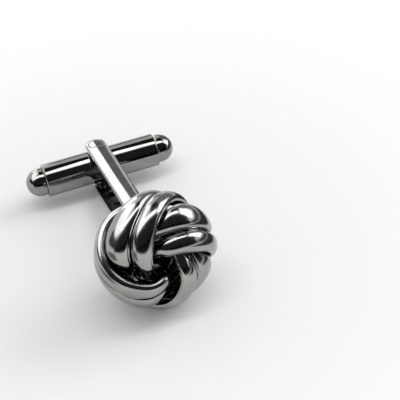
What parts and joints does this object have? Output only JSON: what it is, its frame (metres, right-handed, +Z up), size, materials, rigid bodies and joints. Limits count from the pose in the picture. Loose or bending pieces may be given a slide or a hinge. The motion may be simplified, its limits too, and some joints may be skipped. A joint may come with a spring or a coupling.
{
  "type": "cufflink",
  "caption": "Knot cufflink: a ball of woven double bands on a flat back plate, a forked post, and a swivelling bullet toggle.",
  "frame": {"origin": "on the table that it lies on, centred below the whole cufflink", "axes": "+X along the toggle, +Y from the knot to the toggle, +Z up; it lies on the knot and on the tip of the lower arm"},
  "size_m": [0.0194, 0.0301, 0.0145],
  "materials": {
    "knot_band": "mirror-polished gunmetal plating",
    "knot_core": "dark, semi-matt plated inner ball",
    "back_plate": "polished gunmetal plating",
    "post_arm": "mirror-polished flat strip",
    "pivot_pin": "flush polished pin head",
    "toggle_tube": "mirror-polished gunmetal tube",
    "end_cap": "mirror-polished dome",
    "click_spring": "blued spring steel, hidden in the tube"
  },
  "bodies": {
    "knot_and_post": {"knot_core": "knot_core", "back_plate": "back_plate", "post_base": "back_plate", "upper_arm": "post_arm", "lower_arm": "post_arm", "pivot_pin": "pivot_pin", "left_inner_strip": "knot_band", "left_outer_strip": "knot_band", "top_inner_strip": "knot_band", "top_outer_strip": "knot_band", "right_inner_strip": "knot_band", "right_outer_strip": "knot_band", "bottom_inner_strip": "knot_band", "bottom_outer_strip": "knot_band"},
    "toggle": {"toggle_tube": "toggle_tube", "left_end_cap": "end_cap", "right_end_cap": "end_cap", "front_click_spring": "click_spring", "rear_click_spring": "click_spring"}
  },
  "joints": [
    {"name": "toggle_swivel", "type": "hinge", "parent": "knot_and_post", "child": "toggle", "pos_m": [0, 0.01295, 0.00341], "axis": [0, 0.1699, 0.9855], "continuous": true, "deforming": ["front_click_spring", "rear_click_spring"]}
  ]
}
